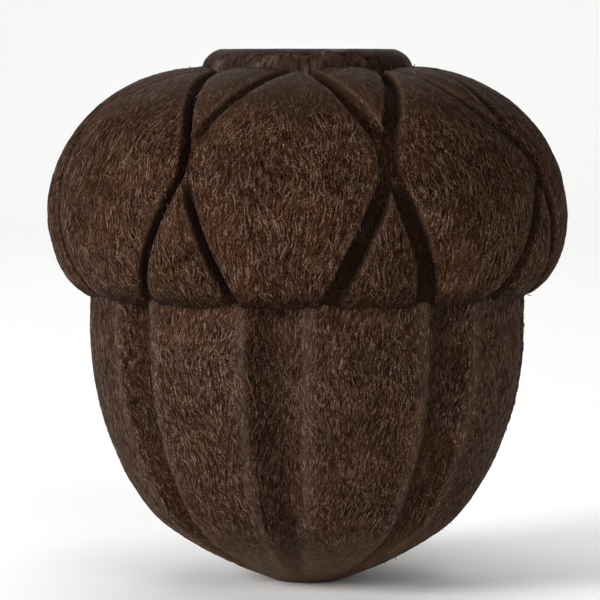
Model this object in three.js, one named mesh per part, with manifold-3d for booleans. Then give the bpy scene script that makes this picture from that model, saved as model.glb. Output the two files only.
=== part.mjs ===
// An acorn: a fluted nut seated in a padded cap, with a flat stalk stub on the cap's crown.
// Millimetres, +Z up. The origin is the middle of the small flat spot that the nut stands on.

import * as THREE from "three";
import { mergeVertices } from "three/addons/utils/BufferGeometryUtils.js";
import Module from "manifold-3d";

// Driving dimensions
const HEIGHT = 80; // flat spot to the top of the stub
const FLAT_RADIUS = 5; // flat spot at the nut's tip
const NUT_RADIUS = 32.7; // over the lobes, at the widest height
const NUT_WIDEST_Z = 38.3;
const CAP_RADIUS = 39; // over the panels, at the widest height
const CAP_WIDEST_Z = 55.2;
const STUB_RADIUS = 15.8;
const SECTORS = 8; // panels round the cap, and flutes round the nut
const FIT_GAP = 0.3; // between pieces that are seated in each other

// The cap's outline is two quarter ellipses, a tall crown over a shallow lip.
const CROWN_RADIUS = 15.3; // where the crown is level, just under the stub's edge
const CROWN_RISE = 22.2;
const LIP_RADIUS = 31.1; // where the lip is level, under the nut's side
const LIP_DROP = 12.2;

// Grooves cut the cap into lozenge panels, with a small triangle above and below each crossing.
const GROOVE_DEPTH = 2.2;
const GROOVE_HALF_WIDTH = 1.25;
const GROOVE_FLOOR_HALF = 0.62;
const SHOULDER_WIDTH = 2.6; // the panels round down towards the grooves
const SHOULDER_DROP = 0.35;
const CROSSING_TURN = degrees(22); // how far up the crown neighbouring grooves cross
const TOP_HALF_ANGLE = degrees(1.6); // half a lozenge at the stub
const FOOT_HALF_ANGLE = degrees(10.8); // half a lozenge at the rim
const LOZENGE_SWELL = 1.8; // above 1 the upper edges of a lozenge bow out

// The nut's outline, from the flat spot up
const HIP_RADIUS = 21.7; // where the tip's cone meets the rounded side
const HIP_Z = 8.8;
const CONE_START_PULL = new THREE.Vector2(5.6, 2);
const CONE_END_PULL = new THREE.Vector2(4.7, 3.8);
const SIDE_START_PULL = new THREE.Vector2(5.2, 4.2);
const SIDE_END_PULL = 13.3;
const NUT_SHOULDER_Z = 46; // the hidden dome starts here, inside the cap
const NUT_DOME_RISE = 19;

// Flutes run down the nut below the middle of each lozenge.
const FLUTE_DEPTH = 2.8;
const FLUTE_HALF_ANGLE = degrees(7.4);
const FLUTE_FADE_RADIUS = 20; // towards the tip the flutes grow shallow inside this radius
const FLUTE_END_Z = 47; // and they run out inside the cap

// The stub stands in a round seat in the crown.
const STUB_FACE_RADIUS = 13;
const STUB_EDGE_RADIUS = 15.3; // the pull of its rounded edge
const STUB_EDGE_DROP = 0.6;
const STUB_SIDE_Z = 77.3;
const SEAT_Z = 74.6;

// Mesh steps
const CROWN_STEPS = 8;
const WAIST_STEPS = 2;
const LIP_STEPS = 7;
const NUT_CURVE_STEPS = 7;
const ROUND_STEPS = 64;
const LOZENGE_STEPS = [0.5, 0.82]; // columns across half a lozenge, as shares
const FLUTE_STEPS = [0.35, 0.7, 1]; // columns across half a flute, as shares
const LOBE_STEPS = 2;

const HALF_SECTOR = Math.PI / SECTORS;
const FRONT = -Math.PI / 2; // the first lozenge faces -Y

const MATERIALS = {
  nut: material("#4a382d", 0.62),
  cap: material("#4b372b", 0.66),
  stub: material("#45352a", 0.5),
};

function degrees(value) {
  return (value * Math.PI) / 180;
}

function material(color, roughness) {
  return new THREE.MeshStandardMaterial({ color, roughness, metalness: 0 });
}

const { clamp, lerp, smoothstep } = THREE.MathUtils;

// Surfaces of revolution with relief

// Turns a profile about Z as a lathe does, then sets every vertex by place(row, column).
function turnedRelief(profile, columns, place) {
  const geometry = new THREE.LatheGeometry(profile, columns);
  const position = geometry.getAttribute("position");
  for (let column = 0; column <= columns; column++) {
    for (let row = 0; row < profile.length; row++) {
      const { radius, angle, z } = place(row, column % columns);
      position.setXYZ(
        column * profile.length + row,
        radius * Math.cos(angle),
        radius * Math.sin(angle),
        z,
      );
    }
  }
  return geometry;
}

// A plain lathe of a profile of (radius, height) points about Z.
function turned(profile) {
  return new THREE.LatheGeometry(profile, ROUND_STEPS).rotateX(Math.PI / 2);
}

// The angle of a column, from its place among the columns of half a sector. Odd halves are mirrored.
function columnAngle(column, halfColumns, angleInHalf) {
  const half = Math.floor(column / halfColumns);
  const step = column % halfColumns;
  const mirrored = half % 2 === 1;
  const inside = mirrored ? angleInHalf(halfColumns - step) : angleInHalf(step);
  const sector = Math.floor(half / 2);
  const start = FRONT + sector * 2 * HALF_SECTOR;
  return {
    inside,
    angle: mirrored ? start + 2 * HALF_SECTOR - inside : start + inside,
  };
}

// Cap

// Rows of the cap's outline from the rim to the crown, with outward normals.
function capRows() {
  const rows = [];
  const add = (turn, centre, rise) => {
    const reach = CAP_RADIUS - centre;
    const normal = new THREE.Vector2(Math.cos(turn) / reach, Math.sin(turn) / rise).normalize();
    const radius = centre + reach * Math.cos(turn);
    rows.push({ turn, radius, z: CAP_WIDEST_Z + rise * Math.sin(turn), normal });
  };
  for (let k = 0; k < LIP_STEPS; k++) {
    add(lerp(-Math.PI / 2, 0, k / LIP_STEPS), LIP_RADIUS, LIP_DROP);
  }
  for (let k = 0; k < WAIST_STEPS; k++) {
    add(lerp(0, CROSSING_TURN, k / WAIST_STEPS), CROWN_RADIUS, CROWN_RISE);
  }
  for (let k = 0; k <= CROWN_STEPS; k++) {
    add(lerp(CROSSING_TURN, Math.PI / 2, k / CROWN_STEPS), CROWN_RADIUS, CROWN_RISE);
  }
  return rows;
}

// Half a lozenge's width as an angle: widest at the crossing, narrowing to the stub and to the rim.
function lozengeHalfAngle({ turn, z }) {
  if (turn > CROSSING_TURN) {
    const share = (turn - CROSSING_TURN) / (Math.PI / 2 - CROSSING_TURN);
    return lerp(HALF_SECTOR, TOP_HALF_ANGLE, share ** LOZENGE_SWELL);
  }
  const crossingZ = CAP_WIDEST_Z + CROWN_RISE * Math.sin(CROSSING_TURN);
  const rimZ = CAP_WIDEST_Z - LIP_DROP;
  return lerp(HALF_SECTOR, FOOT_HALF_ANGLE, (crossingZ - z) / (crossingZ - rimZ));
}

// How far the surface lies below the outline, at a distance from the middle of a groove.
function grooveDrop(distance) {
  const wall = smoothstep(distance, GROOVE_FLOOR_HALF, GROOVE_HALF_WIDTH);
  const shoulder = smoothstep(distance, GROOVE_HALF_WIDTH, GROOVE_HALF_WIDTH + SHOULDER_WIDTH);
  return (GROOVE_DEPTH - SHOULDER_DROP) * (1 - wall) + SHOULDER_DROP * (1 - shoulder);
}

// The columns of half a sector follow the groove, so that its edges stay clean.
function capColumns(row) {
  const groove = lozengeHalfAngle(row);
  const edge = GROOVE_HALF_WIDTH / row.radius;
  const floor = GROOVE_FLOOR_HALF / row.radius;
  const inner = Math.max(groove - edge, 0);
  const outer = Math.min(groove + edge, HALF_SECTOR);
  return [
    0,
    ...LOZENGE_STEPS.map((share) => share * inner),
    inner,
    Math.max(groove - floor, 0),
    Math.min(groove + floor, HALF_SECTOR),
    outer,
    (outer + HALF_SECTOR) / 2,
    HALF_SECTOR,
  ];
}

function capSkin() {
  const rows = capRows();
  const columns = rows.map(capColumns);
  const halfColumns = columns[0].length - 1;
  const profile = [
    new THREE.Vector2(0, rows[0].z),
    ...rows.map((row) => new THREE.Vector2(row.radius, row.z)),
    new THREE.Vector2(0, rows.at(-1).z),
  ];
  return turnedRelief(profile, 2 * SECTORS * halfColumns, (index, column) => {
    const row = rows[index - 1];
    if (!row) return { radius: 0, angle: 0, z: profile[index].y };
    const { inside, angle } = columnAngle(column, halfColumns, (k) => columns[index - 1][k]);
    const drop = grooveDrop(Math.abs(inside - lozengeHalfAngle(row)) * row.radius);
    return { radius: row.radius - drop * row.normal.x, angle, z: row.z - drop * row.normal.y };
  });
}

// The hollow that the nut's dome sits in, open at the rim.
function socket() {
  const radius = NUT_RADIUS + FIT_GAP;
  const path = new THREE.Path();
  path.moveTo(0, NUT_WIDEST_Z);
  path.lineTo(radius, NUT_WIDEST_Z);
  path.lineTo(radius, NUT_SHOULDER_Z);
  path.absellipse(0, NUT_SHOULDER_Z, radius, NUT_DOME_RISE + FIT_GAP, 0, Math.PI / 2);
  return turned(path.getPoints(NUT_CURVE_STEPS));
}

// The round seat that the stub stands in, open upwards.
function stubSeat() {
  const radius = STUB_RADIUS + FIT_GAP;
  return turned([
    new THREE.Vector2(0, SEAT_Z),
    new THREE.Vector2(radius, SEAT_Z),
    new THREE.Vector2(radius, HEIGHT),
    new THREE.Vector2(0, HEIGHT),
  ]);
}

function cap() {
  const solid = toSolid(capSkin()).subtract(toSolid(socket())).subtract(toSolid(stubSeat()));
  return toGeometry(solid);
}

// Nut

// The nut's outline from the flat spot to the top of its dome.
function nutOutline() {
  const path = new THREE.Path();
  path.moveTo(0, 0);
  path.lineTo(FLAT_RADIUS, 0);
  path.bezierCurveTo(
    FLAT_RADIUS + CONE_START_PULL.x,
    CONE_START_PULL.y,
    HIP_RADIUS - CONE_END_PULL.x,
    HIP_Z - CONE_END_PULL.y,
    HIP_RADIUS,
    HIP_Z,
  );
  path.bezierCurveTo(
    HIP_RADIUS + SIDE_START_PULL.x,
    HIP_Z + SIDE_START_PULL.y,
    NUT_RADIUS,
    NUT_WIDEST_Z - SIDE_END_PULL,
    NUT_RADIUS,
    NUT_WIDEST_Z,
  );
  path.lineTo(NUT_RADIUS, NUT_SHOULDER_Z);
  path.absellipse(0, NUT_SHOULDER_Z, NUT_RADIUS, NUT_DOME_RISE, 0, Math.PI / 2);
  return path.getPoints(NUT_CURVE_STEPS);
}

// How deep the flutes are at a point of the outline.
function fluteDepth({ x: radius, y: z }) {
  const towardsTip = smoothstep(radius, FLAT_RADIUS, FLUTE_FADE_RADIUS);
  const insideCap = 1 - smoothstep(z, CAP_WIDEST_Z - LIP_DROP, FLUTE_END_Z);
  return FLUTE_DEPTH * towardsTip * insideCap;
}

// A flute's gouged hollow, as a share of its depth.
function fluteShare(inside) {
  const share = clamp(inside / FLUTE_HALF_ANGLE, 0, 1);
  return 1 - share * share;
}

function nut() {
  const outline = nutOutline();
  const inHalf = [0, ...FLUTE_STEPS.map((share) => share * FLUTE_HALF_ANGLE)];
  for (let k = 1; k <= LOBE_STEPS; k++) {
    inHalf.push(lerp(FLUTE_HALF_ANGLE, HALF_SECTOR, k / LOBE_STEPS));
  }
  const halfColumns = inHalf.length - 1;
  const geometry = turnedRelief(outline, 2 * SECTORS * halfColumns, (index, column) => {
    const { inside, angle } = columnAngle(column, halfColumns, (k) => inHalf[k]);
    const point = outline[index];
    const radius = Math.max(point.x - fluteDepth(point) * fluteShare(inside), 0);
    return { radius, angle, z: point.y };
  });
  return toGeometry(toSolid(geometry));
}

// Stalk stub

function stub() {
  const path = new THREE.Path();
  path.moveTo(0, SEAT_Z + FIT_GAP);
  path.lineTo(STUB_RADIUS, SEAT_Z + FIT_GAP);
  path.lineTo(STUB_RADIUS, STUB_SIDE_Z);
  path.quadraticCurveTo(STUB_EDGE_RADIUS, HEIGHT - STUB_EDGE_DROP, STUB_FACE_RADIUS, HEIGHT);
  path.lineTo(0, HEIGHT);
  return toGeometry(toSolid(turned(path.getPoints(NUT_CURVE_STEPS))));
}

// Closed meshes as solids, and back

const wasm = await Module();
wasm.setup();

function toSolid(geometry) {
  const bare = geometry.clone();
  bare.deleteAttribute("normal");
  bare.deleteAttribute("uv");
  const merged = mergeVertices(bare);
  const corners = merged.index.array;
  const triangles = [];
  for (let k = 0; k < corners.length; k += 3) {
    const [a, b, c] = corners.subarray(k, k + 3);
    if (a !== b && b !== c && c !== a) triangles.push(a, b, c);
  }
  const solid = new wasm.Manifold(
    new wasm.Mesh({
      numProp: 3,
      vertProperties: merged.getAttribute("position").array,
      triVerts: new Uint32Array(triangles),
    }),
  );
  return solid;
}

function toGeometry(solid) {
  const { vertProperties, triVerts } = solid.getMesh();
  const geometry = new THREE.BufferGeometry();
  geometry.setAttribute("position", new THREE.BufferAttribute(vertProperties, 3));
  geometry.setIndex(new THREE.BufferAttribute(triVerts, 1));
  geometry.computeVertexNormals();
  return geometry;
}

// The acorn

function piece(name, geometry, finish) {
  const mesh = new THREE.Mesh(geometry, finish);
  mesh.name = name;
  return mesh;
}

const acorn = new THREE.Group();
acorn.add(
  piece("nut", nut(), MATERIALS.nut),
  piece("cap", cap(), MATERIALS.cap),
  piece("stalk_stub", stub(), MATERIALS.stub),
);

export default acorn;
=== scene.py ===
import math
from types import SimpleNamespace

import bpy
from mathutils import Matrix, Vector


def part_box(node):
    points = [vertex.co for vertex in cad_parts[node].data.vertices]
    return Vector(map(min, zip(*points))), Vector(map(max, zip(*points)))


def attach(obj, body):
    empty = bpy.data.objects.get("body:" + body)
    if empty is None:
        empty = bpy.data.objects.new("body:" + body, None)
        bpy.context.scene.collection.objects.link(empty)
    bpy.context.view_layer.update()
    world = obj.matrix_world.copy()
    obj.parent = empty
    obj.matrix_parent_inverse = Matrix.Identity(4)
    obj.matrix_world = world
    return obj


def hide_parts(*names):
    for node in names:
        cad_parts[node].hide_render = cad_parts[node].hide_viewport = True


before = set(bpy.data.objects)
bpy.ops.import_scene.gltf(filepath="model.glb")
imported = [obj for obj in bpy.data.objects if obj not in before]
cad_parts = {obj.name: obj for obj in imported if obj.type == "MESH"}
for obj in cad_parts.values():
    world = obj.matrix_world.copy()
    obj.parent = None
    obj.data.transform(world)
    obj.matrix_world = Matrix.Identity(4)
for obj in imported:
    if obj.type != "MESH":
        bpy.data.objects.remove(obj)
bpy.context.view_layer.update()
print("frame loaded:", ", ".join(sorted(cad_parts)))

mm = 0.001
deg = math.pi / 180
sectors = 8  # panels round the cap, and flutes round the nut
halfSector = math.pi / sectors
front = -math.pi / 2  # the first panel faces -Y


# Sizes that the frame gives

def widest(node):
    return max(math.hypot(v.co.x, v.co.y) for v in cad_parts[node].data.vertices)


capLow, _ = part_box("cap")
stubLow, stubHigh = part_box("stalk_stub")
capRadius = widest("cap")
nutRadius = widest("nut")
stubRadius = widest("stalk_stub")
seatFloor = 74.6 * mm  # the bottom of the stub's seat in the cap
fitGap = stubLow.z - seatFloor  # between pieces that are seated in each other


# Sums inside node trees

class Value:
    # a number in a node tree: a sum written with it becomes Math nodes
    def __init__(self, tree, socket):
        self.tree = tree
        self.socket = socket

    def __add__(self, other):
        return maths("ADD", self, other)

    def __sub__(self, other):
        return maths("SUBTRACT", self, other)

    def __rsub__(self, other):
        return maths("SUBTRACT", other, self)

    def __mul__(self, other):
        return maths("MULTIPLY", self, other)

    def __truediv__(self, other):
        return maths("DIVIDE", self, other)

    def __neg__(self):
        return maths("MULTIPLY", self, -1.0)

    __radd__ = __add__
    __rmul__ = __mul__


def plug(tree, slot, item):
    if isinstance(item, Value):
        tree.links.new(item.socket, slot)
    elif isinstance(item, bpy.types.NodeSocket):
        tree.links.new(item, slot)
    else:
        slot.default_value = item


def node(tree, kind, settings=None, **inputs):
    made = tree.nodes.new(kind)
    for name, setting in (settings or {}).items():
        setattr(made, name, setting)
    for name, item in inputs.items():
        plug(tree, made.inputs[name.replace("_", " ")], item)
    return made


def treeOf(items):
    return next(item.tree for item in items if isinstance(item, Value))


def maths(operation, *items):
    tree = treeOf(items)
    made = node(tree, "ShaderNodeMath", {"operation": operation})
    for slot, item in zip(made.inputs, items):
        plug(tree, slot, item)
    return Value(tree, made.outputs[0])


def sine(item):
    return maths("SINE", item)


def cosine(item):
    return maths("COSINE", item)


def size(item):
    return maths("ABSOLUTE", item)


def least(a, b):
    return maths("MINIMUM", a, b)


def most(a, b):
    return maths("MAXIMUM", a, b)


def above(a, b):
    return maths("GREATER_THAN", a, b)


def mix(a, b, share):
    return a + (b - a) * share


def ranged(item, low, high, style):
    tree = treeOf((item, low, high))
    made = node(tree, "ShaderNodeMapRange", {"interpolation_type": style, "clamp": True})
    for slot, value in zip(made.inputs, (item, low, high)):
        plug(tree, slot, value)
    return Value(tree, made.outputs[0])


def stretch(item, low, high):
    return ranged(item, low, high, "LINEAR")  # 0 to 1, straight


def ease(item, low, high):
    return ranged(item, low, high, "SMOOTHSTEP")  # 0 to 1, soft at both ends


def point(tree, x, y, z):
    made = node(tree, "ShaderNodeCombineXYZ", X=x, Y=y, Z=z)
    return made.outputs[0]


def axes(tree, vector):
    made = node(tree, "ShaderNodeSeparateXYZ", Vector=vector)
    return [Value(tree, socket) for socket in made.outputs]


def noise(tree, vector, scale, detail=2.0, roughness=0.5):
    made = node(tree, "ShaderNodeTexNoise", Vector=vector, Scale=scale, Detail=detail, Roughness=roughness)
    return Value(tree, made.outputs[0])


# Geometry Nodes trees

socketKinds = {
    int: "NodeSocketInt",
    float: "NodeSocketFloat",
    bpy.types.Object: "NodeSocketObject",
    bpy.types.Material: "NodeSocketMaterial",
}


def newTree(name, sizes):
    tree = bpy.data.node_groups.new(name, "GeometryNodeTree")
    tree.interface.new_socket("Geometry", in_out="OUTPUT", socket_type="NodeSocketGeometry")
    for label, value in sizes.items():
        tree.interface.new_socket(label, in_out="INPUT", socket_type=socketKinds[type(value)])
    inputs = tree.nodes.new("NodeGroupInput")
    return tree, SimpleNamespace(**{label: Value(tree, inputs.outputs[label]) for label in sizes})


def endTree(tree, geometry, finish):
    solid = node(tree, "GeometryNodeRealizeInstances", Geometry=geometry)
    smooth = node(tree, "GeometryNodeSetShadeSmooth", Geometry=solid.outputs[0])
    dressed = node(tree, "GeometryNodeSetMaterial", Geometry=smooth.outputs[0], Material=finish)
    plug(tree, tree.nodes.new("NodeGroupOutput").inputs[0], dressed.outputs[0])


def grow(name, tree, sizes):
    piece = bpy.data.objects.new(name, bpy.data.meshes.new(name + ".seed"))
    bpy.context.scene.collection.objects.link(piece)
    maker = piece.modifiers.new("maker", "NODES")
    maker.node_group = tree
    for item in tree.interface.items_tree:
        if item.item_type == "SOCKET" and item.in_out == "INPUT":
            maker[item.identifier] = sizes[item.name]
    graph = bpy.context.evaluated_depsgraph_get()
    mesh = bpy.data.meshes.new_from_object(
        piece.evaluated_get(graph), preserve_all_data_layers=True, depsgraph=graph
    )
    piece.modifiers.remove(maker)
    piece.data = mesh
    mesh.name = name
    print(name, "has", sum(len(p.vertices) - 2 for p in mesh.polygons), "triangles")
    return piece


def keep(tree, geometry, name, value, kind="FLOAT", domain="POINT"):
    made = node(
        tree,
        "GeometryNodeStoreNamedAttribute",
        {"data_type": kind, "domain": domain},
        Geometry=geometry,
        Name=name,
        Value=value,
    )
    return made.outputs[0]


def kept(tree, name):
    return Value(tree, node(tree, "GeometryNodeInputNamedAttribute", Name=name).outputs[0])


# A grid of rows and columns: how far round and how far along each point is, from 0 to 1
def unitGrid(tree, columns, rows):
    grid = node(tree, "GeometryNodeMeshGrid", Size_X=1.0, Size_Y=1.0)
    plug(tree, grid.inputs["Vertices X"], columns + 1)
    plug(tree, grid.inputs["Vertices Y"], rows + 1)
    mapped = keep(tree, grid.outputs[0], "OFBake", grid.outputs[1], "FLOAT2", "CORNER")
    x, y, _ = axes(tree, node(tree, "GeometryNodeInputPosition").outputs[0])
    return mapped, x + 0.5, y + 0.5


# Splits the rows of a grid into named runs, each 0 to 1 along its own rows
def rowRuns(along, counts):
    total = sum(counts.values())
    runs = {}
    start = 0
    for name, count in counts.items():
        runs[name] = stretch(along, start / total, (start + count) / total)
        start += count
    return SimpleNamespace(**runs)


def turned(tree, mesh, radius, angle, z):
    place = point(tree, radius * cosine(angle + front), radius * sine(angle + front), z)
    return node(tree, "GeometryNodeSetPosition", Geometry=mesh, Position=place).outputs[0]


seamGap = 0.004 * mm
coarseWidth = 9 * mm  # of the soft lumps in a surface
fineWidth = 1.6 * mm  # and of the small ones


# Closes the seam and the poles, and makes the surface slightly uneven
def weathered(tree, mesh, coarse, fine):
    closed = node(tree, "GeometryNodeMergeByDistance", Geometry=mesh, Distance=seamGap).outputs[0]
    place = node(tree, "GeometryNodeInputPosition").outputs[0]
    lumps = (noise(tree, place, 1 / coarseWidth) - 0.5) * coarse
    lumps = lumps + (noise(tree, place, 1 / fineWidth) - 0.5) * fine
    out = node(tree, "GeometryNodeInputNormal").outputs[0]
    shift = node(tree, "ShaderNodeVectorMath", {"operation": "SCALE"}, Vector=out)
    plug(tree, shift.inputs["Scale"], lumps * kept(tree, "skin"))
    return node(tree, "GeometryNodeSetPosition", Geometry=closed, Offset=shift.outputs[0]).outputs[0]


# Materials: matted plant fibre

def paint(red, green, blue):
    # screen colour, 0 to 255, to the linear colour of a shader socket
    parts = [c / 255 for c in (red, green, blue)]
    return [c / 12.92 if c <= 0.04045 else ((c + 0.055) / 1.055) ** 2.4 for c in parts] + [1.0]


def newMaterial(name):
    material = bpy.data.materials.new(name)
    material.use_nodes = True
    tree = material.node_tree
    return material, tree, tree.nodes["Principled BSDF"]


def blendColours(tree, a, b, share):
    made = node(tree, "ShaderNodeMix", {"data_type": "RGBA"})
    plug(tree, made.inputs[0], share)
    plug(tree, made.inputs[6], a)
    plug(tree, made.inputs[7], b)
    return made.outputs[2]


def attribute(tree, name):
    return Value(tree, node(tree, "ShaderNodeAttribute", {"attribute_name": name}).outputs["Fac"])


# A range is the part of a noise over which a look sets in
matted = dict(
    deep=paint(18, 7, 3),  # the dark between the fibres: the matrix's own dark, with painted shade in the gaps
    body=paint(55, 34, 20),
    bodyRange=(0.36, 0.54),
    fibre=paint(114, 94, 81),
    fibreRange=(0.52, 0.76),
    fibreLength=2.1 * mm,
    fibreWidth=0.18 * mm,
    fibreShare=0.8,
    fibreSheen=0.2,  # how much smoother a pale fibre is
    grainSize=0.22 * mm,
    grainShare=0.5,
    curl=0.16 * mm,
    curlSize=1.2 * mm,
    sway=0.6 * mm,
    swaySize=6.5 * mm,
    tuftSize=5.0 * mm,  # of the patches in which the fibres lie one way
    tuftRanges=((0.52, 0.59), (0.41, 0.48)),  # where the second and the third layer meet the first
    bareSize=2.4 * mm,  # of the patches where few fibres show
    bareRange=(0.50, 0.68),
    bareShare=0.4,
    rust=paint(68, 36, 18),
    rustSize=11 * mm,
    rustRange=(0.45, 0.7),
    rustShare=0.28,
    dentShadeSize=6.5 * mm,  # of the darker patches: painted shade, as of soft dents in the surface
    dentShadeRange=(0.48, 0.70),
    dentShadeShare=0.34,
    rubbedAndLitBelow=paint(62, 44, 33),  # near the stub and at the tip, where the fibres are worn smooth; on the nut's tip the colour is also painted light, as thrown up by the floor
    rubbedAndLitBelowShare=0.55,
    rubbedTop=(69 * mm, 75 * mm),
    tipRubbedAndLitBelow=(1 * mm, 12 * mm),
    rubbedSheen=0.15,
    # painted shade in the grooves, in the flutes and along the rim
    groove=paint(21, 11, 6),
    grooveShare=0.88,
    edgeHighlight=0.18,  # how pale the painted highlight along the edges of the panels and the lobes is
    relief=0.06 * mm,
    reliefGain=2.0,
    gloss=0.015,
    rough=0.7,
)
finer = dict(  # on the nut
    body=paint(57, 36, 24),
    fibre=paint(114, 95, 82),
    fibreLength=1.4 * mm,
    fibreWidth=0.21 * mm,
    curl=0.12 * mm,
    edgeHighlight=0.14,
    sway=0.5 * mm,
    # the tip is worn smooth and also painted paler, as painted light thrown up by the floor
    rubbedAndLitBelow=paint(100, 79, 62),
    gloss=0.03,
)
fibreLeans = (0 * deg, 13 * deg, -12 * deg)  # of the layers of fibres, from the axis
leanRadius = 32 * mm  # of the cylinder that the surface is unrolled on
layerShift = 10  # keeps the noises of the layers apart


# Moves places about by a noise, up to about the amount each way
def pushed(tree, place, amount, scale):
    field = node(tree, "ShaderNodeTexNoise", Vector=place, Scale=1 / scale, Detail=0.0)
    centred = node(tree, "ShaderNodeVectorMath", {"operation": "SUBTRACT"}, Vector=field.outputs["Color"])
    centred.inputs[1].default_value = (0.5, 0.5, 0.5)
    made = node(tree, "ShaderNodeVectorMath", {"operation": "MULTIPLY_ADD"}, Vector=centred.outputs[0])
    made.inputs[1].default_value = [amount * 2] * 3
    plug(tree, made.inputs[2], place)
    return made.outputs[0]


# One layer of fibres: a noise drawn out along lines that wind round the axis
def fibreLayer(tree, place, lean, looks):
    height = axes(tree, place)[2]
    wound = node(tree, "ShaderNodeVectorRotate", {"rotation_type": "Z_AXIS"}, Vector=place)
    plug(tree, wound.inputs["Angle"], height * (math.tan(lean) / leanRadius))
    drawn = node(tree, "ShaderNodeMapping", Vector=wound.outputs[0])
    across = 1 / looks["fibreWidth"]
    drawn.inputs["Location"].default_value = [lean * layerShift] * 3
    drawn.inputs["Scale"].default_value = (across, across, 1 / looks["fibreLength"])
    return noise(tree, drawn.outputs[0], 1.0, 1.0)


def fibreMaterial(name, looks):
    material, tree, shader = newMaterial(name)
    place = node(tree, "ShaderNodeTexCoord").outputs["Object"]
    x, y, height = axes(tree, place)
    radius = most(maths("SQRT", x * x + y * y), mm)
    stretchOut = (leanRadius - attribute(tree, "sunk")) / radius
    unrolled = point(tree, x * stretchOut, y * stretchOut, attribute(tree, "lie"))
    swayed = pushed(tree, unrolled, looks["sway"], looks["swaySize"])
    curled = pushed(tree, swayed, looks["curl"], looks["curlSize"])
    layers = [fibreLayer(tree, curled, lean, looks) for lean in fibreLeans]
    tufts = noise(tree, place, 1 / looks["tuftSize"], 1.0)
    second, third = looks["tuftRanges"]
    flow = mix(layers[0], layers[1], ease(tufts, *second))
    flow = mix(flow, layers[2], 1 - ease(tufts, *third))
    grain = noise(tree, place, 1 / looks["grainSize"], 1.0) - 0.5
    flow = mix(0.5, flow, looks["fibreShare"]) + grain * looks["grainShare"]
    lit = ease(flow, *looks["fibreRange"])
    rust = ease(noise(tree, place, 1 / looks["rustSize"], 3.0), *looks["rustRange"])
    bare = ease(noise(tree, place, 1 / looks["bareSize"], 2.0), *looks["bareRange"])
    dentShades = ease(noise(tree, place, 1 / looks["dentShadeSize"], 1.0), *looks["dentShadeRange"])
    rubbedAndLitBelow = ease(height, *looks["rubbedTop"]) + 1 - ease(height, *looks["tipRubbedAndLitBelow"])

    # painted shade in the gaps between the fibres, where the flow is low
    base = blendColours(tree, looks["deep"], looks["body"], ease(flow, *looks["bodyRange"]))
    base = blendColours(tree, base, looks["rust"], rust * looks["rustShare"])
    base = blendColours(tree, base, looks["fibre"], lit * (1 - bare * looks["bareShare"]))
    # darker patches: painted shade, as of soft dents
    base = blendColours(tree, base, looks["deep"], dentShades * looks["dentShadeShare"])
    # worn smooth near the stub; at the nut's tip worn smooth and painted light from below
    base = blendColours(tree, base, looks["rubbedAndLitBelow"], rubbedAndLitBelow * looks["rubbedAndLitBelowShare"])
    # painted shade in the grooves, in the flutes and along the rim
    base = blendColours(tree, base, looks["groove"], attribute(tree, "hollow") * looks["grooveShare"])
    # painted highlight along the edges of the panels and the lobes
    base = blendColours(tree, base, looks["fibre"], attribute(tree, "edge") * looks["edgeHighlight"])
    tree.links.new(base, shader.inputs["Base Color"])
    rough = looks["rough"] - lit * looks["fibreSheen"] - rubbedAndLitBelow * looks["rubbedSheen"]
    plug(tree, shader.inputs["Roughness"], rough)
    shader.inputs["Specular IOR Level"].default_value = looks["gloss"]
    bump = node(tree, "ShaderNodeBump", Distance=looks["relief"], Strength=1.0)
    plug(tree, bump.inputs["Height"], flow * looks["reliefGain"])
    tree.links.new(bump.outputs[0], shader.inputs["Normal"])
    return material


worn = dict(
    dark=paint(30, 15, 9),
    plain=paint(50, 34, 25),
    # pale blotches: scuffs, with a painted sheen
    scuffAndSheen=paint(96, 80, 70),
    scuffAndSheenRanges=((0.46, 0.70), (0.30, 0.65)),  # of the blotches and of the streaks
    scuffAndSheenShare=0.75,
    scuffSheen=0.2,
    streakLength=6 * mm,
    streakWidth=0.7 * mm,
    streakRange=(0.35, 0.55),
    blotch=5.5 * mm,
    rough=0.62,
    gloss=0.06,
    relief=0.05 * mm,
)


# The stub is handled smooth: upright streaks and pale blotches, partly scuffs and partly a painted sheen,
# and no fibres
def wornMaterial(name, looks):
    material, tree, shader = newMaterial(name)
    place = node(tree, "ShaderNodeTexCoord").outputs["Object"]
    drawn = node(tree, "ShaderNodeMapping", Vector=place)
    across = 1 / looks["streakWidth"]
    drawn.inputs["Scale"].default_value = (across, across, 1 / looks["streakLength"])
    streaks = noise(tree, drawn.outputs[0], 1.0, 3.0, 0.6)
    blotches = noise(tree, place, 1 / looks["blotch"], 3.0, 0.6)
    base = blendColours(tree, looks["dark"], looks["plain"], ease(streaks, *looks["streakRange"]))
    onBlotches, onStreaks = looks["scuffAndSheenRanges"]
    # scuffs, with a painted sheen
    scuffsAndSheen = ease(blotches, *onBlotches) * ease(streaks, *onStreaks)
    base = blendColours(tree, base, looks["scuffAndSheen"], scuffsAndSheen * looks["scuffAndSheenShare"])
    tree.links.new(base, shader.inputs["Base Color"])
    plug(tree, shader.inputs["Roughness"], looks["rough"] - scuffsAndSheen * looks["scuffSheen"])
    shader.inputs["Specular IOR Level"].default_value = looks["gloss"]
    bump = node(tree, "ShaderNodeBump", Distance=looks["relief"], Strength=1.0)
    plug(tree, bump.inputs["Height"], streaks + blotches)
    tree.links.new(bump.outputs[0], shader.inputs["Normal"])
    return material


loose = dict(
    dark=paint(34, 19, 11),
    light=paint(110, 91, 77),
    lightSheen=0.14,
    mottleSize=0.6 * mm,
    mottleShare=0.5,
    rough=0.5,
    gloss=0.06,
)


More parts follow.
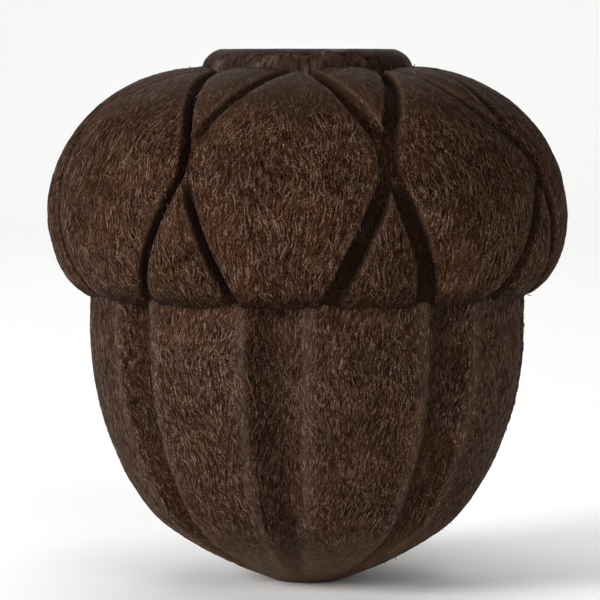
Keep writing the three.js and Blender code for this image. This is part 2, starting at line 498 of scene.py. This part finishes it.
# Loose strands: the tone of each is its own
def strandMaterial(name, looks):
    material, tree, shader = newMaterial(name)
    place = node(tree, "ShaderNodeTexCoord").outputs["Object"]
    tone = attribute(tree, "tone")
    mottle = (noise(tree, place, 1 / looks["mottleSize"]) - 0.5) * looks["mottleShare"]
    share = most(least(tone + mottle, 1.0), 0.0)
    tree.links.new(blendColours(tree, looks["dark"], looks["light"], share), shader.inputs["Base Color"])
    plug(tree, shader.inputs["Roughness"], looks["rough"] - tone * looks["lightSheen"])
    shader.inputs["Specular IOR Level"].default_value = looks["gloss"]
    return material


capFibre = fibreMaterial("capFibre", matted)
nutFibre = fibreMaterial("nutFibre", {**matted, **finer})
stubFibre = wornMaterial("stubFibre", worn)
looseFibre = strandMaterial("looseFibre", loose)
print("fibre materials mixed")


# Cap: puffed panels between carved grooves

capRows = dict(floor=2, seat=3, crown=100, lip=50, socket=6, dome=8)
capSizes = dict(
    columns=448,
    capRadius=capRadius,
    widestZ=55.2 * mm,
    crownRadius=15.3 * mm,
    crownRise=22.2 * mm,
    lipRadius=31.1 * mm,
    lipDrop=12.2 * mm,
    seatRadius=stubRadius + fitGap,
    seatZ=seatFloor,
    socketRadius=nutRadius + fitGap,
    socketZ=46.0 * mm,
    socketRise=19.3 * mm,
    grooveDepth=2.2 * mm,
    grooveHalfWidth=1.25 * mm,
    grooveFloorHalf=0.62 * mm,
    grooveSway=0.42,  # how much wider some grooves are than others, as a share
    swayFrom=0.3,  # share of the way up the crown at which they become alike
    swayTo=0.8,
    shoulderDrop=0.35 * mm,
    shoulderWidth=2.6 * mm,
    crossingTurn=22 * deg,
    topHalfAngle=1.6 * deg,
    footHalfAngle=10.8 * deg,
    lozengeSwell=1.62,  # above 1 the lozenges' upper edges bow out
    crossingGap=0.35 * mm,
    tipWear=0.6 * mm,
    tipWidth=2.4 * mm,
    mergedWidth=0.6 * mm,  # of half the bar between two grooves, below which they are one
    mainShare=0.9,  # of the depth where two grooves meet, in the one that runs through an odd crossing
    wornShare=0.38,  # and an even one
    branchShare=0.2,  # and in the one that branches off
    wornEdge=0.8 * mm,  # width of the painted highlight along the edges of the panels
    wornFrom=0.8,  # where it starts in the groove, as a share of half its width
    barePart=1.3 * mm,  # beside the grooves, where fewer strands lie
    barest=0.4,  # share of it where the fewest do
    wallShade=0.25 * mm,  # depth in a groove at which its painted shade starts
    floorShade=1.0 * mm,  # and at which the painted shade is as dark as it gets
    crownWear=0.36,  # how much lighter the painted shade in the grooves is on the crown
    crownFade=0.4,  # share of the way up the crown by which it is
    rimShade=0.72,  # how dark the painted shade along the rim is
    rimBand=3.2 * mm,
    rimFill=0.65,  # how much shallower the grooves are where they run out through the rim
    rimFrom=0.7,  # share of the lip from which they are
    rimWave=1.4 * mm,
    rimWaves=7.0,  # more of them make the rim's waves shorter
    waveFrom=0.5,  # share of the lip from which it waves
    grooveNap=0.05,  # share of the strands that lie in the grooves
    topLean=0.5 * deg,
    footLean=-1.4 * deg,
    footSpread=1.6 * deg,
    pinch=9 * deg,  # of the crown, beyond the panel to the right of the front one
    pinchFrom=30 * deg,
    pinchTo=66 * deg,
    wander=2.4 * deg,
    wanderFrom=16 * deg,
    coarse=0.5 * mm,
    fine=0.05 * mm,
    finish=capFibre,
)
lozengeColumns = 0.42  # share of half a sector's columns on the lozenge
grooveColumns = 0.30  # and in the groove
grooveReach = 1.15  # how far from its middle these lie, as a share of half its width
grooveLimit = 0.985  # and at most, as a share of half a sector
seatTop = 0.999  # share of the seat's rows past which the outside starts


def capTree(sizes):
    tree, s = newTree("carvedCap", sizes)
    mesh, around, along = unitGrid(tree, s.columns, sum(capRows.values()))
    run = rowRuns(along, capRows)

    # outline, from the middle of the stub's seat over the crown and the lip into the socket
    reach = s.capRadius - s.crownRadius
    lipReach = s.capRadius - s.lipRadius
    topTurn = maths("ARCCOSINE", (s.seatRadius - s.crownRadius) / reach)
    rimTurn = maths("ARCCOSINE", (s.socketRadius - s.lipRadius) / lipReach)
    turnUp = topTurn * (1 - run.crown)
    turnDown = rimTurn * run.lip
    domeTurn = run.dome * (math.pi / 2)
    crownZ = s.widestZ + s.crownRise * sine(topTurn)
    rimZ = s.widestZ - s.lipDrop * sine(rimTurn)
    radius = s.seatRadius * run.floor + reach * (cosine(turnUp) - cosine(topTurn))
    radius = radius + lipReach * (cosine(turnDown) - 1) + s.socketRadius * (cosine(domeTurn) - 1)
    z = s.seatZ + (crownZ - s.seatZ) * run.seat + s.crownRise * (sine(turnUp) - sine(topTurn))
    z = z - s.lipDrop * sine(turnDown) + (s.socketZ - rimZ) * run.socket + s.socketRise * sine(domeTurn)

    # outward direction on the crown and on the lip
    onLip = above(run.lip, 0.0)
    outward = mix(cosine(turnUp) / reach, cosine(turnDown) / lipReach, onLip)
    upward = mix(sine(turnUp) / s.crownRise, -sine(turnDown) / s.lipDrop, onLip)
    length = maths("SQRT", outward * outward + upward * upward)
    outside = above(run.seat, seatTop)
    skin = outside * (1 - above(run.socket, 0.0))

    # half a lozenge's angle: widest at the crossing of the grooves
    high = stretch(turnUp, s.crossingTurn, math.pi / 2)
    low = stretch(z, s.widestZ + s.crownRise * sine(s.crossingTurn), rimZ)
    taper = maths("POWER", high, s.lozengeSwell)
    lozenge = halfSector - (halfSector - s.topHalfAngle) * taper - (halfSector - s.footHalfAngle) * low
    lozenge = least(lozenge, halfSector - s.crossingGap / radius)

    # columns follow the grooves, mirrored in every other half sector
    step = around * (2.0 * sectors)
    half = least(maths("FLOOR", step), 2.0 * sectors - 1)
    mirrored = maths("MODULO", half, 2.0)
    share = mix(step - half, 1 - (step - half), mirrored)
    index = maths("FLOOR", half * 0.5)
    start = index * (2 * halfSector)
    uneven = 1 + s.grooveSway * sine((start + halfSector) * 2) * (1 - ease(high, s.swayFrom, s.swayTo))
    grooveHalf = s.grooveHalfWidth * uneven
    edge = grooveHalf * grooveReach / radius
    inner = most(lozenge - edge, 0.0)
    outer = least(lozenge + edge, halfSector * grooveLimit)
    inside = inner * stretch(share, 0.0, lozengeColumns)
    inside = inside + (outer - inner) * stretch(share, lozengeColumns, lozengeColumns + grooveColumns)
    inside = inside + (halfSector - outer) * stretch(share, lozengeColumns + grooveColumns, 1.0)
    angle = start + mix(inside, 2 * halfSector - inside, mirrored)

    # where two grooves meet, one runs through and the other branches off: the first changes sides at an
    # even crossing, and keeps its side at an odd one, on the left and on the right by turns
    bar = (halfSector - lozenge) * radius
    narrow = 1 - ease(bar, s.crossingGap, s.tipWidth)
    apart = ease(bar, s.crossingGap, s.mergedWidth)
    crossing = maths("MODULO", index, 2.0)
    swapped = maths("COMPARE", maths("MODULO", index, 4.0), 1.0, 0.5)
    far = size(mirrored - swapped)
    branch = mix(1 - size(far - crossing), far, above(low, 0.0)) * most(apart, crossing)
    through = mix(s.wornShare, s.mainShare, crossing)

    # how far the carving lies below the outline
    offLine = (inside - lozenge) * radius
    wall = ease(size(offLine), s.grooveFloorHalf * uneven, grooveHalf)
    shoulder = ease(size(offLine), grooveHalf, grooveHalf + s.shoulderWidth)
    depth = s.grooveDepth * mix(1.0, mix(through, s.branchShare, branch), narrow)
    across = (halfSector - inside) * radius + bar
    overlap = (1 - ease(across, s.grooveFloorHalf * uneven, grooveHalf)) * branch
    mainDepth = s.grooveDepth * mix(1.0, through, narrow)
    cut = most((depth - s.shoulderDrop) * (1 - wall), (mainDepth - s.shoulderDrop) * overlap)
    drop = cut + s.shoulderDrop * (1 - shoulder)
    triangle = ease(offLine, 0.0, grooveHalf)
    drop = most(drop, s.tipWear * narrow * triangle) * outside * (1 - run.socket)
    sunk = drop * (1 - s.rimFill * ease(run.lip, s.rimFrom, 1.0))

    # the grooves wander and lean, and the crown is pinched
    pinched = ease(angle, s.pinchFrom, s.pinchTo) - stretch(angle, s.pinchTo, 2 * math.pi)
    lean = s.topLean * high + (s.footLean + s.footSpread * sine(angle)) * low
    lean = lean - s.pinch * pinched * high * (1 - high) * 4  # all of it half-way up the crown
    angle = angle + s.wander * sine(angle + s.wanderFrom) + lean

    # what the paint and the strands follow
    # painted shade along the underside of the rim
    rimShadePainted = s.rimShade * (1 - ease(z, rimZ, rimZ + s.rimBand))
    # painted shade, darker the deeper a groove is
    shade = ease(drop, s.wallShade, s.floorShade) * (1 - s.crownWear * ease(high, 0.0, s.crownFade))
    nap = ease(size(offLine), grooveHalf + s.barePart * s.barest, grooveHalf + s.barePart)
    nap = most(nap, 1 - ease(drop, s.shoulderDrop, s.floorShade))
    # painted highlight along the panels' edges
    highlitEdge = ease(size(offLine), grooveHalf * s.wornFrom, grooveHalf)
    highlitEdge = highlitEdge - ease(size(offLine), grooveHalf, grooveHalf + s.wornEdge)
    lie = (lipReach + s.lipDrop) * 0.5 * turnDown - (reach + s.crownRise) * 0.5 * turnUp
    mesh = keep(tree, mesh, "hollow", most(shade, rimShadePainted))
    mesh = keep(tree, mesh, "nap", skin * mix(s.grooveNap, 1.0, nap))
    mesh = keep(tree, mesh, "skin", skin)
    mesh = keep(tree, mesh, "lie", lie)
    mesh = keep(tree, mesh, "sunk", sunk)
    mesh = keep(tree, mesh, "edge", highlitEdge * skin * (1 - narrow) * (1 - low))

    ring = point(tree, cosine(angle), sine(angle), 0.0)
    wave = (noise(tree, ring, s.rimWaves) - 0.5) * s.rimWave
    z = z + wave * ease(run.lip, s.waveFrom, 1.0) * (1 - run.socket)
    inwards = outward * (1 - ease(run.lip, s.rimFrom, 1.0))
    mesh = turned(tree, mesh, radius - sunk * inwards / length, angle, z - sunk * upward / length)
    mesh = node(tree, "GeometryNodeFlipFaces", Mesh=mesh).outputs[0]
    endTree(tree, weathered(tree, mesh, s.coarse, s.fine), s.finish)
    return tree


cap = grow("cap_carved", capTree(capSizes), capSizes)


# Nut: lobes between shallow flutes

nutRows = dict(flat=3, cone=44, side=96, wall=10, dome=10)
nutSizes = dict(
    columns=336,
    nutRadius=nutRadius,
    flatRadius=5.0 * mm,
    hipRadius=21.7 * mm,
    hipZ=8.8 * mm,
    coneStartOut=5.6 * mm,
    coneStartUp=2.0 * mm,
    coneEndOut=4.7 * mm,
    coneEndUp=3.8 * mm,
    sideStartOut=5.2 * mm,
    sideStartUp=4.2 * mm,
    sideEndUp=13.3 * mm,
    widestZ=38.3 * mm,
    shoulderZ=46.0 * mm,
    domeRise=19.0 * mm,
    fluteDepth=2.8 * mm,
    fluteHalfAngle=7.4 * deg,
    fluteRounding=0.12,  # of the lobes' edges, as a share of half a flute
    fluteFadeRadius=20.0 * mm,
    fluteBare=0.4,  # share of the strands that are missing in the flutes
    fluteShade=0.5,  # how dark the painted shade in the flutes is
    wornFrom=0.85,  # the painted highlight along the lobes' edges lies between these, as shares of half a flute
    wornMost=1.05,
    wornTo=1.6,
    fluteFadeZ=capLow.z,
    fluteEndZ=47.0 * mm,
    tuck=0.5 * mm,  # how far the strands reach in under the cap
    tipSmooth=0.15,  # share of the cone, from the flat spot up, where the lumps fade in
    shift=-1.2 * deg,
    wander=2.0 * deg,
    wanderFrom=6 * deg,
    wanders=3.0,  # waves round the nut
    coarse=0.4 * mm,
    fine=0.05 * mm,
    finish=nutFibre,
)


def bezier(share, a, b, c, d):
    first = (b - a) * 3
    second = (c - b) * 3 - first
    third = d - a - first - second
    return ((third * share + second) * share + first) * share + a


def nutTree(sizes):
    tree, s = newTree("flutedNut", sizes)
    mesh, around, along = unitGrid(tree, s.columns, sum(nutRows.values()))
    run = rowRuns(along, nutRows)

    # outline, from the flat spot up the cone and the side to the dome inside the cap
    domeTurn = run.dome * (math.pi / 2)
    coneRadius = bezier(
        run.cone, s.flatRadius, s.flatRadius + s.coneStartOut, s.hipRadius - s.coneEndOut, s.hipRadius
    )
    coneZ = bezier(run.cone, 0.0, s.coneStartUp, s.hipZ - s.coneEndUp, s.hipZ)
    sideRadius = bezier(run.side, s.hipRadius, s.hipRadius + s.sideStartOut, s.nutRadius, s.nutRadius)
    sideZ = bezier(run.side, s.hipZ, s.hipZ + s.sideStartUp, s.widestZ - s.sideEndUp, s.widestZ)
    radius = s.flatRadius * (run.flat - 1) + coneRadius + (sideRadius - s.hipRadius)
    radius = radius + s.nutRadius * (cosine(domeTurn) - 1)
    z = coneZ + (sideZ - s.hipZ) + (s.shoulderZ - s.widestZ) * run.wall + s.domeRise * sine(domeTurn)

    # flutes fade towards the tip and inside the cap
    step = around * sectors
    off = size(step - maths("FLOOR", step + 0.5)) * (2 * halfSector)
    gouge = 1 - off * off / (s.fluteHalfAngle * s.fluteHalfAngle)
    share = maths("SMOOTH_MAX", gouge, 0.0, s.fluteRounding)
    fade = ease(radius, s.flatRadius, s.fluteFadeRadius) * (1 - ease(z, s.fluteFadeZ, s.fluteEndZ))
    drop = s.fluteDepth * share * fade
    angle = around * (2 * math.pi)
    angle = angle + s.shift - s.wander * cosine((angle + s.wanderFrom) * s.wanders)
    skin = ease(run.cone, 0.0, s.tipSmooth) * (1 - above(z, s.fluteEndZ))
    # painted shade in the flutes
    mesh = keep(tree, mesh, "hollow", share * fade * s.fluteShade)
    mesh = keep(tree, mesh, "lie", coneRadius + z - coneZ)
    offShare = off / s.fluteHalfAngle
    # painted highlight along the lobes' edges
    highlitEdge = ease(offShare, s.wornFrom, s.wornMost) - ease(offShare, s.wornMost, s.wornTo)
    mesh = keep(tree, mesh, "edge", highlitEdge * fade)
    shown = skin * (1 - above(z, s.fluteFadeZ + s.tuck))
    mesh = keep(tree, mesh, "nap", shown * (1 - share * fade * s.fluteBare))
    mesh = keep(tree, mesh, "skin", skin)
    mesh = turned(tree, mesh, radius - drop, angle, z)
    endTree(tree, weathered(tree, mesh, s.coarse, s.fine), s.finish)
    return tree


nut = grow("nut_fluted", nutTree(nutSizes), nutSizes)


# Stalk stub: a low disc with a rounded edge

stubRows = dict(foot=3, wall=8, edge=14, face=16)
stubSizes = dict(
    columns=128,
    stubRadius=stubRadius,
    footZ=stubLow.z,
    sideZ=77.3 * mm,
    edgeRadius=15.3 * mm,
    edgeDrop=0.6 * mm,
    faceRadius=13.0 * mm,
    topZ=stubHigh.z,
    coarse=0.2 * mm,
    fine=0.1 * mm,
    finish=stubFibre,
)


def stubTree(sizes):
    tree, s = newTree("stalkStub", sizes)
    mesh, around, along = unitGrid(tree, s.columns, sum(stubRows.values()))
    run = rowRuns(along, stubRows)
    pull = (1 - run.edge) * run.edge * 2
    bend = run.edge * run.edge
    start = (1 - run.edge) * (1 - run.edge)
    radius = s.stubRadius * (run.foot - 1) + s.stubRadius * start + s.edgeRadius * pull + s.faceRadius * bend
    radius = radius - s.faceRadius * run.face
    z = s.footZ - s.sideZ + (s.sideZ - s.footZ) * run.wall
    z = z + s.sideZ * start + (s.topZ - s.edgeDrop) * pull + s.topZ * bend
    mesh = keep(tree, mesh, "skin", above(run.wall, 0.0) * (1 - above(run.face, 0.0)))
    mesh = turned(tree, mesh, radius, around * (2 * math.pi), z)
    endTree(tree, weathered(tree, mesh, s.coarse, s.fine), s.finish)
    return tree


stub = grow("stub_disc", stubTree(stubSizes), stubSizes)


# Loose strands: curled fibres lying half sunk in the surface

strandBends = (  # sideways bow and wave of each kind of strand, as shares of its length
    (0.05, 0.04),
    (0.16, 0.0),
    (0.08, 0.10),
    (0.30, 0.03),
    (-0.04, 0.13),
    (0.22, 0.09),
)


coverSize = 4 * mm  # of the patches with fewer and with more strands
coverRange = (0.35, 0.65)
coverShares = (0.7, 1.2)
swirlSize = 5 * mm
bakeShares = (0.9, 0.08)  # of the width of the UV map, for the tone and for the way round a strand


def randomValue(tree, low, high, seed, kind="FLOAT"):
    made = node(tree, "FunctionNodeRandomValue", {"data_type": kind})
    ends = {"FLOAT": "_001", "INT": "_002"}[kind]
    named = {slot.identifier: slot for slot in made.inputs}
    plug(tree, named["Min" + ends], low)
    plug(tree, named["Max" + ends], high)
    plug(tree, named["Seed"], seed)
    return Value(tree, {slot.identifier: slot for slot in made.outputs}["Value" + ends])


# One strand of each kind, of length 1, with its ends dipping below the surface
def strandShapes(tree, s):
    shapes = node(tree, "GeometryNodeJoinGeometry")
    along = Value(tree, node(tree, "GeometryNodeSplineParameter").outputs["Factor"])
    end = (along * 2 - 1) * (along * 2 - 1)
    section = node(tree, "GeometryNodeCurvePrimitiveCircle", {"mode": "RADIUS"}, Resolution=s.sides)
    plug(tree, section.inputs["Radius"], s.thickness * 0.5)
    profile = keep(tree, section.outputs[0], "across", along)
    for bow, wave in strandBends:
        line = node(tree, "GeometryNodeCurvePrimitiveLine", Start=(0.0, -0.5, 0.0), End=(0.0, 0.5, 0.0))
        cut = node(tree, "GeometryNodeResampleCurve", Curve=line.outputs[0], Count=s.points)
        aside = bow * (s.bowMiddle - end) + wave * sine(along * (2 * math.pi))
        bend = point(tree, aside, 0.0, s.lift - s.dip * end)
        bent = node(tree, "GeometryNodeSetPosition", Geometry=cut.outputs[0], Offset=bend)
        marked = keep(tree, bent.outputs[0], "along", along)
        tapered = node(tree, "GeometryNodeSetCurveRadius", Curve=marked, Radius=1 - end * end * s.taper)
        tube = node(tree, "GeometryNodeCurveToMesh", Curve=tapered.outputs[0], Fill_Caps=True)
        tree.links.new(profile, tube.inputs["Profile Curve"])
        shape = node(tree, "GeometryNodeGeometryToInstance", Geometry=tube.outputs[0])
        tree.links.new(shape.outputs[0], shapes.inputs[0])
    return shapes.outputs[0]


def strandTree(name, sizes):
    tree, s = newTree(name, sizes)
    ground = node(tree, "GeometryNodeObjectInfo", Object=s.ground)
    place = node(tree, "GeometryNodeInputPosition").outputs[0]
    height = axes(tree, place)[2]
    cover = kept(tree, "nap") * stretch(height, s.tipFrom, s.tipTo)
    cover = cover * mix(1.0, s.topShare, ease(height, s.topFrom, s.topTo))
    cover = cover * mix(*coverShares, ease(noise(tree, place, 1 / coverSize), *coverRange))
    spots = node(tree, "GeometryNodeDistributePointsOnFaces", Mesh=ground.outputs["Geometry"], Seed=s.seed)
    plug(tree, spots.inputs["Density"], cover * s.density)
    upright = node(
        tree, "FunctionNodeAlignRotationToVector", {"axis": "Z"}, Vector=spots.outputs["Normal"]
    )
    grained = node(
        tree,
        "FunctionNodeAlignRotationToVector",
        {"axis": "Y", "pivot_axis": "Z"},
        Rotation=upright.outputs[0],
        Vector=(0.0, 0.0, 1.0),
    )
    swirl = (noise(tree, place, 1 / swirlSize, 1.0) - 0.5) * s.swirl
    spread = mix(s.spreadLow, s.spreadHigh, ease(height, s.spreadFrom, s.spreadTo))
    yaw = node(tree, "FunctionNodeAxisAngleToRotation", Axis=(0.0, 0.0, 1.0))
    plug(tree, yaw.inputs["Angle"], randomValue(tree, -1.0, 1.0, s.seed + 1) * spread + swirl)
    laid = node(tree, "FunctionNodeRotateRotation", {"rotation_space": "LOCAL"}, Rotation=grained.outputs[0])
    tree.links.new(yaw.outputs[0], laid.inputs[1])
    tilt = node(tree, "FunctionNodeAxisAngleToRotation", Axis=(1.0, 0.0, 0.0))
    plug(tree, tilt.inputs["Angle"], randomValue(tree, -1.0, 1.0, s.seed + 2) * s.tilt)
    lifted = node(tree, "FunctionNodeRotateRotation", {"rotation_space": "LOCAL"}, Rotation=laid.outputs[0])
    tree.links.new(tilt.outputs[0], lifted.inputs[1])
    long = randomValue(tree, 0.0, 1.0, s.seed + 3)
    placed = node(
        tree,
        "GeometryNodeInstanceOnPoints",
        Points=spots.outputs["Points"],
        Instance=strandShapes(tree, s),
        Pick_Instance=True,
        Instance_Index=randomValue(tree, 0, len(strandBends) - 1, s.seed + 4, "INT"),
        Rotation=lifted.outputs[0],
    )
    plug(tree, placed.inputs["Scale"], mix(s.shortest, s.longest, long * long * long))
    tone = randomValue(tree, 0.0, 1.0, s.seed + 5)
    # strands lying in the painted shade are painted darker too
    tone = tone * tone * (1 - kept(tree, "hollow") * s.hollowTone)
    toned = keep(tree, placed.outputs[0], "tone", tone, "FLOAT", "INSTANCE")
    solid = node(tree, "GeometryNodeRealizeInstances", Geometry=toned).outputs[0]
    toneShare, roundShare = bakeShares
    sideways = kept(tree, "tone") * toneShare + kept(tree, "across") * roundShare
    unwrapped = point(tree, sideways, kept(tree, "along"), 0.0)
    endTree(tree, keep(tree, solid, "OFBake", unwrapped, "FLOAT2", "CORNER"), s.finish)
    return tree


strandSizes = dict(
    density=1.2e6,  # strands on a square metre, in each layer
    points=4,  # along a strand
    sides=3,
    shortest=0.6 * mm,
    longest=2.0 * mm,
    thickness=0.08,  # as a share of the length, as are lift and dip
    lift=0.004,
    dip=0.04,
    bowMiddle=0.6,  # share of a bow that lies on one side of the strand's place, with the ends on the other
    taper=0.7,  # how much thinner the ends are
    hollowTone=0.8,  # how much darker the strands in the grooves and the flutes are painted, as painted shade
    tilt=1.5 * deg,
    topShare=0.25,
    topFrom=71.0 * mm,
    topTo=76.5 * mm,
    tipFrom=0.6 * mm,
    tipTo=9.0 * mm,
    swirl=140 * deg,
    spreadLow=36 * deg,
    spreadHigh=46 * deg,
    spreadFrom=48.0 * mm,
    spreadTo=58.0 * mm,
    seed=3,
    finish=looseFibre,
)
strandLayers = 2
seedStep = 10
strands = []
for ground, grownOn in ((cap, "cap"), (nut, "nut")):
    for layer in range(1, strandLayers + 1):
        name = f"{grownOn}_strands_{layer}"
        seed = strandSizes["seed"] + seedStep * len(strands)
        sizes = {**strandSizes, "ground": ground, "seed": seed}
        strands.append((grow(name, strandTree(name, sizes), sizes), None, f"{grownOn}_fibre"))
print("strands laid")


# Each piece rides on the one body and stands for its node

for piece, owner, finish in (
    (cap, "cap", "cap_fibre"),
    (nut, "nut", "nut_fibre"),
    (stub, "stalk_stub", "stub_fibre"),
    *strands,
):
    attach(piece, "root")
    if owner:
        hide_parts(owner)


# Stage: a pale sweep, soft light from the upper left, and the camera

stage = dict(
    width=3.0,
    depth=1.4,
    rise=1.6,
    reach=2.1,  # towards the camera
    bend=0.5,
    bendSteps=24,
    colour=paint(250, 250, 249),
    rough=0.9,
)


def makeSweep(name, sizes):
    bend = sizes["bend"]
    bendFrom = sizes["depth"] - bend
    profile = [(-sizes["reach"], 0.0), (bendFrom, 0.0)]
    for k in range(1, sizes["bendSteps"] + 1):
        a = k / sizes["bendSteps"] * math.pi / 2
        profile.append((bendFrom + bend * math.sin(a), bend * (1 - math.cos(a))))
    profile.append((sizes["depth"], sizes["rise"]))
    half = sizes["width"] / 2
    points = [(x, y, z) for y, z in profile for x in (-half, half)]
    faces = [(2 * k, 2 * k + 1, 2 * k + 3, 2 * k + 2) for k in range(len(profile) - 1)]
    mesh = bpy.data.meshes.new(name)
    mesh.from_pydata(points, [], faces)
    mesh.shade_smooth()
    sweep = bpy.data.objects.new(name, mesh)
    bpy.context.scene.collection.objects.link(sweep)
    material, _, shader = newMaterial("palePaper")
    shader.inputs["Base Color"].default_value = sizes["colour"]
    shader.inputs["Roughness"].default_value = sizes["rough"]
    mesh.materials.append(material)
    alone = bpy.data.collections.new("paperAlone")
    alone.objects.link(sweep)
    return alone


def addLight(name, place, aim, width, watts, only=None):
    lamp = bpy.data.lights.new(name, "AREA")
    lamp.shape = "DISK"
    lamp.size = width
    lamp.energy = watts
    light = bpy.data.objects.new(name, lamp)
    light.location = place
    light.rotation_euler = (Vector(aim) - Vector(place)).to_track_quat("-Z", "Y").to_euler()
    light.light_linking.receiver_collection = only
    bpy.context.scene.collection.objects.link(light)


paperAlone = makeSweep("paper_sweep", stage)
middle = (0.0, 0.0, 42 * mm)
addLight("key", place=(-0.86, -0.62, 0.46), aim=middle, width=0.5, watts=12.6)
addLight("fill", place=(0.45, -0.95, 0.65), aim=middle, width=0.8, watts=4.4)
addLight("lowFill", place=(0.2, -1.1, 0.12), aim=middle, width=0.4, watts=3.6)
addLight("back", place=(-0.2, 0.95, 0.8), aim=middle, width=0.8, watts=2.0)
addLight("paperLight", place=(0.0, 0.3, 1.3), aim=(0.0, 0.8, 0.0), width=1.4, watts=10.0, only=paperAlone)

worldStrength = 0.03
world = bpy.data.worlds.new("studio")
world.use_nodes = True
background = world.node_tree.nodes["Background"]
background.inputs["Color"].default_value = (1.0, 1.0, 1.0, 1.0)
background.inputs["Strength"].default_value = worldStrength
bpy.context.scene.world = world
bpy.context.scene.view_settings.view_transform = "Standard"

view = dict(
    turn=5.5 * deg,  # to the right of the front panel
    distance=540 * mm,
    height=82.4 * mm,
    aimX=-1.1 * mm,
    aimZ=42.25 * mm,
    lens=215.5,
    sensor=36.0,
    nearest=0.01,
)


def makeCamera(sizes):
    lens = bpy.data.cameras.new("view")
    lens.sensor_fit = "HORIZONTAL"
    lens.sensor_width = sizes["sensor"]
    lens.lens = sizes["lens"]
    lens.clip_start = sizes["nearest"]
    camera = bpy.data.objects.new("view", lens)
    side = Vector((math.cos(sizes["turn"]), math.sin(sizes["turn"]), 0.0))
    back = Vector((math.sin(sizes["turn"]), -math.cos(sizes["turn"]), 0.0))
    camera.location = back * sizes["distance"] + Vector((0.0, 0.0, sizes["height"]))
    aim = side * sizes["aimX"] + Vector((0.0, 0.0, sizes["aimZ"]))
    camera.rotation_euler = (aim - camera.location).to_track_quat("-Z", "Y").to_euler()
    bpy.context.scene.collection.objects.link(camera)
    bpy.context.scene.camera = camera


makeCamera(view)
print("stage, light and camera set")
